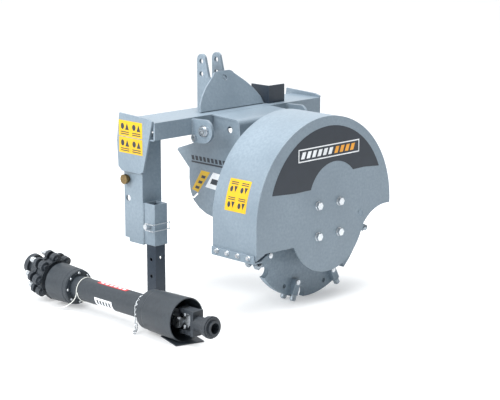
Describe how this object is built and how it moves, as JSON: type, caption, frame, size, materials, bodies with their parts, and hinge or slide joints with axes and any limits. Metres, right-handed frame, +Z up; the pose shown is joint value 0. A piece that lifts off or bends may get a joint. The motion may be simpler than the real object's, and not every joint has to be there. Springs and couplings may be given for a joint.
{
  "type": "three-point stump grinder",
  "caption": "Tractor-mounted stump grinder: channel beam with hitch posts and mast, half-round hood over a toothed cutter wheel, parking legs and a guarded driveline with clutch.",
  "frame": {"origin": "on the power input shaft's axis, level with the beam's front face", "axes": "+Z up, +Y towards the tractor along the input shaft, +X towards the right end of the beam"},
  "size_m": [1.1655, 0.9377, 0.8149],
  "materials": {
    "paint": "satin grey-blue paint",
    "black_paint": "satin black paint",
    "zinc": "zinc plated",
    "bronze": "yellow zinc",
    "steel": "machined",
    "wheel": "light grey paint",
    "tooth": "forged with hard tips",
    "guard": "black moulded",
    "cast_black": "painted casting"
  },
  "bodies": {
    "frame": {"beam": "paint", "left_end_plate": "paint", "right_end_plate": "paint", "left_post": "paint", "right_post": "paint", "left_socket": "paint", "right_socket": "paint", "left_ear": "paint", "right_ear": "paint", "front_gusset": "paint", "mast_flap": "black_paint", "left_lug": "paint", "right_lug": "paint", "lug_bolts": "zinc", "left_cheek": "paint", "right_cheek": "paint", "bridge_sheet": "paint", "hood_rim": "paint", "hood_back": "paint", "front_plate": "paint", "hood_flange": "paint", "flange_bolts": "zinc", "front_bearing": "steel", "bearing_bolts": "zinc", "gearbox_case": "cast_black", "gearbox_cover": "cast_black", "gearbox_bolts": "zinc", "gearbox_bearings": "steel", "left_leg": "black_paint", "right_leg": "black_paint"},
    "cutter": {"cutter_shaft": "steel", "cutter_disc": "wheel", "cutter_hub": "steel", "hub_bolts": "zinc", "tooth_pockets": "wheel", "cutter_teeth": "tooth", "pocket_bolts": "zinc", "output_gear": "steel"},
    "input": {"input_shaft": "steel", "input_gear": "steel"},
    "left_link_pin": {"left_link_pin": "bronze"},
    "right_link_pin": {"right_link_pin": "bronze"},
    "left_leg_pin": {"left_leg_pin": "zinc"},
    "right_leg_pin": {"right_leg_pin": "zinc"},
    "left_bail": {"left_bail": "zinc"},
    "right_bail": {"right_bail": "zinc"},
    "driveline": {"guard_tube": "guard", "guard_bell": "guard"},
    "inner_guard": {"inner_guard": "guard", "guard_cone": "guard"},
    "outer_shaft": {"profile_tube": "steel"},
    "inner_shaft": {"profile_bar": "steel"},
    "near_cross": {"near_cross": "steel"},
    "near_yoke": {"near_yoke": "cast_black"},
    "collar": {"release_collar": "cast_black"},
    "far_cross": {"far_cross": "steel"},
    "clutch": {"clutch_yoke": "cast_black", "clutch_plates": "cast_black", "clutch_springs": "steel"},
    "clutch_hub": {"clutch_hub": "cast_black"}
  },
  "joints": [
    {"name": "cutter_spin", "type": "hinge", "parent": "frame", "child": "cutter", "pos_m": [0.018, -0.302, -0.12875], "axis": [0, 1, 0], "continuous": true},
    {"name": "input_spin", "type": "hinge", "parent": "frame", "child": "input", "pos_m": [0, 0, 0], "axis": [0, 1, 0], "continuous": true},
    {"name": "left_link_pin_pull", "type": "slide", "parent": "frame", "child": "left_link_pin", "axis": [-1, 0, 0], "range_m": [0, 0.13]},
    {"name": "right_link_pin_pull", "type": "slide", "parent": "frame", "child": "right_link_pin", "axis": [1, 0, 0], "range_m": [0, 0.13]},
    {"name": "left_leg_pin_pull", "type": "slide", "parent": "frame", "child": "left_leg_pin", "axis": [-1, 0, 0], "range_m": [0, 0.09]},
    {"name": "right_leg_pin_pull", "type": "slide", "parent": "frame", "child": "right_leg_pin", "axis": [1, 0, 0], "range_m": [0, 0.09]},
    {"name": "left_bail_swing", "type": "hinge", "parent": "left_leg_pin", "child": "left_bail", "pos_m": [-0.4265, 0.0395, -0.15795], "axis": [0, 0, -1], "range_deg": [0, 100]},
    {"name": "right_bail_swing", "type": "hinge", "parent": "right_leg_pin", "child": "right_bail", "pos_m": [0.4265, 0.0395, -0.15795], "axis": [0, 0, 1], "range_deg": [0, 100]},
    {"name": "driveline_lift", "type": "slide", "parent": "frame", "child": "driveline", "axis": [0, 0, 1], "range_m": [0, 0.35]},
    {"name": "shaft_spin", "type": "hinge", "parent": "driveline", "child": "outer_shaft", "pos_m": [-0.648, 0, -0.34695], "axis": [0, 1, 0], "continuous": true},
    {"name": "shaft_telescope", "type": "slide", "parent": "outer_shaft", "child": "inner_shaft", "axis": [0, -1, 0], "range_m": [0, 0.2]},
    {"name": "guard_telescope", "type": "slide", "parent": "driveline", "child": "inner_guard", "axis": [0, -1, 0], "range_m": [0, 0.2]},
    {"name": "near_cross_hinge", "type": "hinge", "parent": "inner_shaft", "child": "near_cross", "pos_m": [-0.648, -0.4, -0.34695], "axis": [1, 0, 0], "range_deg": [-14, 14]},
    {"name": "near_yoke_hinge", "type": "hinge", "parent": "near_cross", "child": "near_yoke", "pos_m": [-0.648, -0.4, -0.34695], "axis": [0, 0, 1], "range_deg": [-14, 14]},
    {"name": "collar_slide", "type": "slide", "parent": "near_yoke", "child": "collar", "axis": [0, 1, 0], "range_m": [0, 0.012], "stiffness_N_per_m": 1500, "springref_m": -0.01},
    {"name": "far_cross_hinge", "type": "hinge", "parent": "outer_shaft", "child": "far_cross", "pos_m": [-0.648, 0.216, -0.34695], "axis": [1, 0, 0], "range_deg": [-10, 4]},
    {"name": "clutch_hinge", "type": "hinge", "parent": "far_cross", "child": "clutch", "pos_m": [-0.648, 0.216, -0.34695], "axis": [0, -0.1986, 0.9801], "range_deg": [-8, 8]},
    {"name": "clutch_slip", "type": "hinge", "parent": "clutch", "child": "clutch_hub", "pos_m": [-0.648, 0.29441, -0.33106], "axis": [0, 0.9801, 0.1986], "continuous": true}
  ],
  "couplings": [
    {"joint": "input_spin", "follows": "cutter_spin", "ratio": -0.67742},
    {"joint": "guard_telescope", "follows": "shaft_telescope", "ratio": 1}
  ]
}
